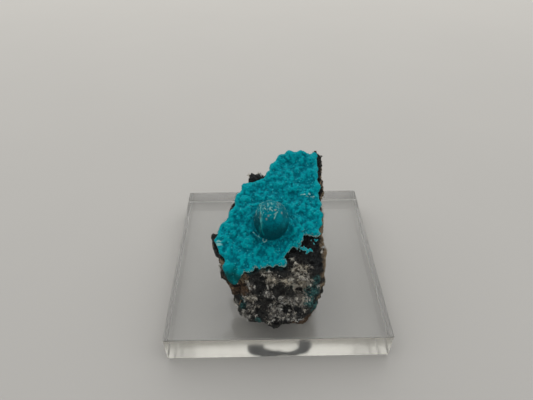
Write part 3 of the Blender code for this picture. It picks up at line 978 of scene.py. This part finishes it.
def out_of_face(normals):
    """How far each normal points out of the sloping face, 1 for straight out."""
    return normals @ np.array(FACE.to_3x3() @ UP)


def edge_room(points, facing):
    """Distance from each point of the crust to the nearest one on its sides."""
    sides = points[(facing < SIDE_FACING) & (ball_reach(points) > SIDE_REACH)]
    tree = KDTree(len(sides))
    for index, point in enumerate(sides):
        tree.insert(point, index)
    tree.balance()
    return np.array([tree.find(point)[2] for point in points])


def crust_ground(node):
    """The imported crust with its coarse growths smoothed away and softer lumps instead."""
    skin = fused(mesh_of("ground", *plain_copy(node)), GROUND_VOXEL)
    set_points(skin, relaxed(skin, points_of(skin), GROUND_ROUNDS))
    points = points_of(skin)
    normals = normals_of(skin)
    inside = fade(edge_room(points, out_of_face(normals)), *GROUND_EDGE)
    inside *= fade(ball_reach(points), *GROUND_BALL)
    wave = sampled(fractal, points, WAVE_SIZE) * WAVE_HEIGHT
    for size, height in LUMP_SIZES:
        wave += sampled(lumps, points, size, LUMP_SHIFT) * height
    return points + normals * (GROUND_SWELL + inside * wave)[:, None], triangles_of(skin)


def crust_shapes(node):
    """The crust's ground with small round growths all over it, apart from the ball and the drip."""
    rng = np.random.default_rng(CRUST_SEED)
    points, triangles = crust_ground(node)
    spots, normals = surface_spots(points, triangles, GROWTH_SPACING, rng, GROWTH_TRIES)
    ball_points, ball_triangles = unit_ball(GROWTH_DETAIL)
    near_drip = away(spots, DRIP_MIDDLE) < DRIP_BARE
    facing = out_of_face(normals)
    free = ~((ball_reach(spots) < BALL_BARE) | near_drip | (facing < UNDERSIDE))
    smallest, largest = GROWTH_RADIUS
    limit = np.maximum(edge_room(spots, facing) + GROWTH_OVERHANG, smallest)
    share = np.clip(facing, STEEP_SHARE, 1.0)
    shapes = [(points, triangles)]
    for index in np.flatnonzero(free):
        radius = min(smallest + (largest - smallest) * rng.random() ** GROWTH_SKEW, limit[index])
        height = rng.uniform(*GROWTH_HEIGHT) * share[index]
        middle = spots[index] + normals[index] * (height - radius)
        shapes.append((ball_points * radius + middle, ball_triangles))
    for middle, radius in BITS:
        shapes.append((ball_points * radius * MM + np.array(middle) * MM, ball_triangles))
    return joined(shapes)


def face_marks(points, local):
    """The low ring, the pale ledge and the crease below it, each 1 where it runs."""
    (right, up), radius = RING
    ring = np.hypot(local[:, 0] - right, local[:, 1] - up)
    ring = near(ring - radius + layer(fractal, points, *RING_NOISE), RING_WIDTH)
    ledge = near(path_distance(local[:, :2], LEDGE), LEDGE_WIDTH)
    crease = near(path_distance(local[:, :2], CREASE), CREASE_WIDTH)
    return ring, ledge, crease


def broken_up(points, edge):
    """Points near the crust's lower edge pushed aside along the face."""
    broken = near(edge, EDGE_WIDTH) * EDGE_BREAK
    for axis, shift in enumerate(EDGE_SHIFTS):
        aside = np.array(FACE.to_3x3().col[axis])
        points = points + aside * (sampled(fractal, points, EDGE_SIZE, shift) * broken)[:, None]
    return points


def clear_of_ball(points):
    """Crust inside the ball drawn in below the ball's own skin."""
    reach = ball_reach(points)
    inner = reach < BALL_CLEAR
    middle = np.array(BALL_CENTRE)
    drawn = np.minimum(1.0, BALL_INSIDE / reach[inner])
    points[inner] = middle + (points[inner] - middle) * drawn[:, None]
    return points


def oval(local, middle, width, height):
    """0 in the middle of an oval on the face, falling to -1 on its outline."""
    right, up = middle
    return -np.hypot((local[:, 0] - right) / width, (local[:, 1] - up) / height)


def crust_masks(skin, points, local, edge, ring, ledge):
    """Where the crust is raised, sunk, pale, smooth or streaked."""
    sideways = 1.0 - out_of_face(normals_of(skin))
    rim = fade(-edge, *RIM_REACH) * fade(sideways, *RIM_TURN)
    bits = zone(points, [(place, BIT_REACH * radius) for place, radius in BITS])
    bits *= BIT_RIM + BIT_SIDE_RIM * fade(sideways, *BIT_TURN)
    rim = np.max([rim, bits, RING_RIM * ring, LEDGE_RIM * ledge], axis=0)
    flecks = fade(oval(local, *BACK_FLECKS), *BACK_FADE)
    corner = CORNER_SHARE * fade(oval(local, *CORNER_FLECKS), *CORNER_FADE)
    set_masks(
        skin,
        # relief and valley set where the crust's painted shade and painted highlights go
        relief=relief(skin, *CRUST_RELIEF),
        valley=relief(skin, *CRUST_VALLEY),
        rim=rim,
        drip=np.clip(2.0 - 2.0 * away(points, DRIP_MIDDLE) / DRIP_REACH, 0.0, 1.0),
        fleck=np.maximum(flecks, corner),
    )


def make_crust(node, finish):
    """The crust's skin: ground and growths in one, with a broken lower edge."""
    skin = fused(mesh_of("crust", *crust_shapes(node)), CRUST_VOXEL)
    points = relaxed(skin, points_of(skin), 1)
    set_points(skin, points)
    local = on_face(points)
    edge = path_distance(local[:, :2], BROKEN_EDGE)
    ring, ledge, crease = face_marks(points, local)
    bumps = layer(grains, points, *CRUST_GRAINS) + layer(fractal, points, *CRUST_ROUGH)
    bumps += RING_HEIGHT * ring + LEDGE_HEIGHT * ledge - CREASE_DEPTH * crease
    points = points + normals_of(skin) * (bumps * MM)[:, None]
    points = clear_of_ball(broken_up(points, edge))
    set_points(skin, points)
    crust_masks(skin, points, local, edge, ring, ledge)
    skin.shade_smooth()
    piece = add_piece("crust_skin", skin, finish)
    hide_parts("chrysocolla_crust")


def make_ball(finish):
    """Ball with a thin shell that ends in a ragged edge on its left."""
    directions, triangles = unit_ball(BALL_DETAIL)
    small = directions * MM
    upward = directions @ np.array(BALL_SEEN_UP)
    bend = SHELL_BEND * (1.0 - directions[:, 1] ** 2)
    past = directions[:, 0] * BALL_RADII[0] - SHELL_END - layer(fractal, small, *SHELL_NOISE) - bend
    shell = fade(past, *SHELL_RISE)
    lip = near(past - LIP_PLACE, LIP_WIDTH)
    dents = layer(fractal, small, *BALL_DENTS) + layer(fractal, small, *BALL_GRAIN)
    streaks = near(path_distance(directions, *BALL_STREAKS), STREAK_WIDTH)
    specks = near(np.min([away(directions, place) for place in BALL_SPECKS], axis=0), SPECK_WIDTH)
    height = dents - SHELL_STEP * (1.0 - shell) + LIP_HEIGHT * lip
    height = height + STREAK_HEIGHT * streaks + SPECK_HEIGHT * specks
    local = directions * np.array(BALL_RADII) + directions * height[:, None]
    turn = np.array(FACE.to_3x3())
    mesh = mesh_of("ball", local @ turn.T * MM + np.array(BALL_CENTRE), triangles)
    seen_lip = fade(directions[:, 2], *LIP_FRONT) * fade(upward, *LIP_UP)
    ragged = layer(fractal, small, *UNDERSIDE_SHADE_NOISE)
    set_masks(
        mesh,
        # Painted shade in the recess below the shell's broken edge, where it faces down
        recess=(1.0 - shell) * fade(-upward, *RECESS_FADE),
        rim=lip * seen_lip,
        streak=streaks,
        speck=specks,
        band=near(path_distance(directions, *BALL_BANDS), BAND_WIDTH),
        # Painted shade on the ball's underside, ragged at its edge
        lower=fade(ragged - upward, *UNDERSIDE_SHADE_FADE),
        fleck=fade(directions[:, 1], *FLECK_FADE),
    )
    mesh.shade_smooth()
    add_piece("ball_skin", mesh, finish)


def front_share(points, normals):
    """1 on the rock's broken front, 0 elsewhere."""
    ahead = fade(-points[:, 1], *FRONT_PLACE)
    return ahead * fade(-normals[:, 1], *FRONT_TURN)


def crust_tree(node):
    points, triangles = plain_copy(node)
    return BVHTree.FromPolygons(points.tolist(), triangles.tolist())


def under_crust(points, tree):
    """1 where the crust lies over the rock, 0 where the rock is bare."""
    up = FACE.to_3x3() @ UP
    hits = [tree.ray_cast(Vector(point) - up * COVER_BACK * MM, up, COVER_FAR)[0] for point in points]
    return np.array([hit is not None for hit in hits], dtype=float)


def crust_gap(points, tree):
    """Distance in mm from each point to the crust, up to GAP_LIMIT."""
    near_crust = [tree.find_nearest(Vector(point), GAP_LIMIT * MM)[3] for point in points]
    return np.array([GAP_LIMIT if gap is None else gap / MM for gap in near_crust])


def patchy(points, size, shift, height, start, change=0.0):
    """Patches of noise from 0 to 1, for the sides that the photograph doesn't show."""
    return np.clip(layer(fractal, points, size, shift, height) + start + change, 0.0, 1.0)


def pale_share(points, normals, front):
    """Where the rock carries pale crystals, from 0 to 1."""
    wanted = zone(points, CREAM_ZONES + WHITE_ZONES) * (1.0 - BLACK_SHARE * zone(points, BLACK_ZONES))
    pale = front * wanted + (1.0 - front) * patchy(points, *SIDE_PALE)
    flat = fade(normals[:, 2], *BED_TURN)
    return pale * (1.0 - flat * (1.0 - zone(points, CREAM_ZONES)))


def rock_height(points, bare, top):
    """How far the rock's skin stands out in mm: facets, ridges, grains and a jagged bare bed."""
    broken = layer(facet, points, *ROCK_FACETS) + layer(facet, points, *ROCK_CHIPS)
    rough = layer(ridges, points, *ROCK_RIDGES) + layer(fractal, points, *ROCK_ROUGH)
    crystals = layer(grains, points, *ROCK_GRAINS)
    jagged = top * (layer(ridges, points, *BED_RIDGES) - BED_SINK)
    raised = OUTCROP_RISE * zone(points, OUTCROP)
    return ROCK_SWELL + (broken + rough + crystals + jagged) * bare + raised


def rock_masks(skin, points, normals, front, top, tree):
    """Where each colour lies: by zones on the front, by noise on the sides."""
    side = (1.0 - front) * (1.0 - top)
    high = fade(points[:, 2], *HIGH_SIDE)
    right = fade(normals[:, 0], *RIGHT_TURN) * fade(-points[:, 2], *RIGHT_TOP)
    brown = patchy(points, *SIDE_BROWN, -HIGH_BROWN * high)
    tan = patchy(points, *SIDE_TAN, RIGHT_TAN * right - HIGH_TAN * high * (1.0 - right))
    tanned = zone(points, TAN_ZONES)
    cream = zone(points, CREAM_ZONES)
    covered = fade(np.maximum(cream, tanned), *BED_COVERED)
    skirt = front * fade(-crust_gap(points, tree), *SKIRT_REACH) * patchy(points, *SKIRT_NOISE)
    set_masks(
        skin,
        relief=relief(skin, *ROCK_RELIEF),
        brown=np.maximum(zone(points, BROWN_ZONES), side * brown),
        tan=np.maximum(tanned, side * tan * (1.0 - top)),
        stain=front * zone(points, STAIN_ZONES) + side * patchy(points, *SIDE_STAIN),
        pale=pale_share(points, normals, front),
        cream=cream,
        bed=top * (1.0 - covered),
        skirt=skirt * (1.0 - fade(tanned, *SKIRT_COVERED)),
    )


def make_rock(node, crust_node, finish, needles):
    """The rock's skin, broken where the crust doesn't cover it, and the needles on it."""
    skin = fused(mesh_of("rock", *plain_copy(node)), ROCK_VOXEL)
    points = points_of(skin)
    normals = normals_of(skin)
    tree = crust_tree(crust_node)
    bare = 1.0 - COVERED_SHARE * under_crust(points, tree)
    top = fade(normals[:, 2], *BED_TURN) * bare
    front = front_share(points, normals)
    points = points + normals * (rock_height(points, bare, top) * MM)[:, None]
    set_points(skin, points)
    rock_masks(skin, points, normals, front, top, tree)
    skin.shade_smooth()
    piece = add_piece("rock_skin", skin, finish)
    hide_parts("matrix_rock")
    make_needles(points, triangles_of(skin), tree, needles)


def spray(rng, place, normal, size):
    """Needles that fan out from one place."""
    shapes = []
    aside = np.cross(normal, rng.normal(size=3))
    aside /= np.linalg.norm(aside)
    across = np.cross(normal, aside)
    for _ in range(rng.integers(*SPRAY_NEEDLES)):
        turn = rng.uniform(0.0, 2.0 * math.pi)
        lean = math.radians(rng.uniform(*NEEDLE_LEAN))
        flat = aside * math.cos(turn) + across * math.sin(turn)
        ahead = normal * math.cos(lean) + flat * math.sin(lean)
        width = NEEDLE_WIDTH * rng.uniform(*NEEDLE_VARY)
        one = np.cross(ahead, normal + flat * NEEDLE_SKEW)
        one *= width / np.linalg.norm(one)
        two = np.cross(ahead, one)
        length = rng.uniform(*NEEDLE_LENGTH) * size
        foot = place - normal * NEEDLE_SINK * MM
        thick = foot + ahead * length * NEEDLE_THICKEST
        ring = [thick + one, thick + two, thick - one, thick - two]
        shapes.append(np.array([foot, *ring, foot + ahead * length]))
    return shapes


def make_needles(points, triangles, tree, finish):
    """Sprays of needles where the rock is pale, away from the crust and the tack."""
    rng = np.random.default_rng(SPRAY_SEED)
    places, normals = surface_spots(points, triangles, SPRAY_SPACING, rng, SPRAY_TRIES)
    pale = pale_share(places, normals, front_share(places, normals))
    chosen = rng.random(len(places)) < pale
    chosen &= (crust_gap(places, tree) > SPRAY_GAP) & (places[:, 2] > SPRAY_LOWEST)
    shapes = []
    tints = []
    cream = zone(places, CREAM_ZONES)
    for place, normal, share in zip(places[chosen], normals[chosen], cream[chosen]):
        tint = 0.5 * rng.random() + 0.5 * share
        for needle in spray(rng, place, normal, 1.0 + CREAM_LONGER * share):
            shapes.append((needle, NEEDLE_FACES))
            tints.extend([tint] * len(needle))
    mesh = mesh_of("needles", *joined(shapes))
    set_masks(mesh, tint=tints)
    add_piece("crystal_needles", mesh, finish)


def make_tack(node, finish):
    """Putty squeezed against the base and the rock."""
    skin = fused(mesh_of("tack", *plain_copy(node)), TACK_VOXEL)
    points = points_of(skin)
    normals = normals_of(skin)
    swell = TACK_SWELL + layer(fractal, points, *TACK_WAVES) * MM
    swell += TACK_LUMP * zone(points, TACK_LUMPS) * (1.0 - np.abs(normals[:, 2]))
    points = points + normals * swell[:, None]
    points[:, 0] *= TACK_SPREAD
    points[:, 1] += layer(fractal, points * np.array(SMEAR_STRETCH), *TACK_SMEAR) * MM
    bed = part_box("acrylic_base")[1][2] - TACK_SINK
    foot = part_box("mineral_tack")[0][2] + TACK_FOOT
    points[points[:, 2] < foot, 2] = bed
    points[:, 2] = np.maximum(points[:, 2], bed)
    set_points(skin, points)
    skin.shade_smooth()
    piece = add_piece("tack_skin", skin, finish)
    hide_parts("mineral_tack")


def floor():
    bpy.ops.mesh.primitive_plane_add(size=FLOOR_SIZE, location=(0.0, 0.0, -FLOOR_DROP))
    table = bpy.context.object
    table.name = "table"
    table.data.materials.append(floor_finish())


def lights():
    """Wide overhead panel and an even surround."""
    world = bpy.data.worlds.new("surround")
    world.use_nodes = True
    background = world.node_tree.nodes["Background"]
    background.inputs["Color"].default_value = (*SURROUND_COLOUR, 1.0)
    background.inputs["Strength"].default_value = SURROUND
    bpy.context.scene.world = world
    data = bpy.data.lights.new("panel", "AREA")
    data.shape = "RECTANGLE"
    data.size, data.size_y = PANEL_SIZE
    data.energy = PANEL_GLOW * math.pi * data.size * data.size_y
    data.color = PANEL_COLOUR
    panel = linked("panel", data)
    panel.location = PANEL_PLACE
    panel.visible_camera = False


def tone():
    """Plain colours, and enough bounces for light to pass through the clear base."""
    scene = bpy.context.scene
    scene.view_settings.view_transform = "Standard"
    scene.cycles.max_bounces = MOST_BOUNCES
    scene.cycles.glossy_bounces = GLOSSY_BOUNCES
    scene.cycles.transmission_bounces = CLEAR_BOUNCES


def main():
    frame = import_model()
    camera()
    nodes = frame["nodes"]
    base = nodes["acrylic_base"]
    base.data.materials[0] = acrylic_finish()
    make_tack(nodes["mineral_tack"], tack_finish())
    make_rock(nodes["matrix_rock"], nodes["chrysocolla_crust"], rock_finish(), needle_finish())
    make_crust(nodes["chrysocolla_crust"], crust_finish())
    make_ball(ball_finish())
    floor()
    lights()
    tone()


main()
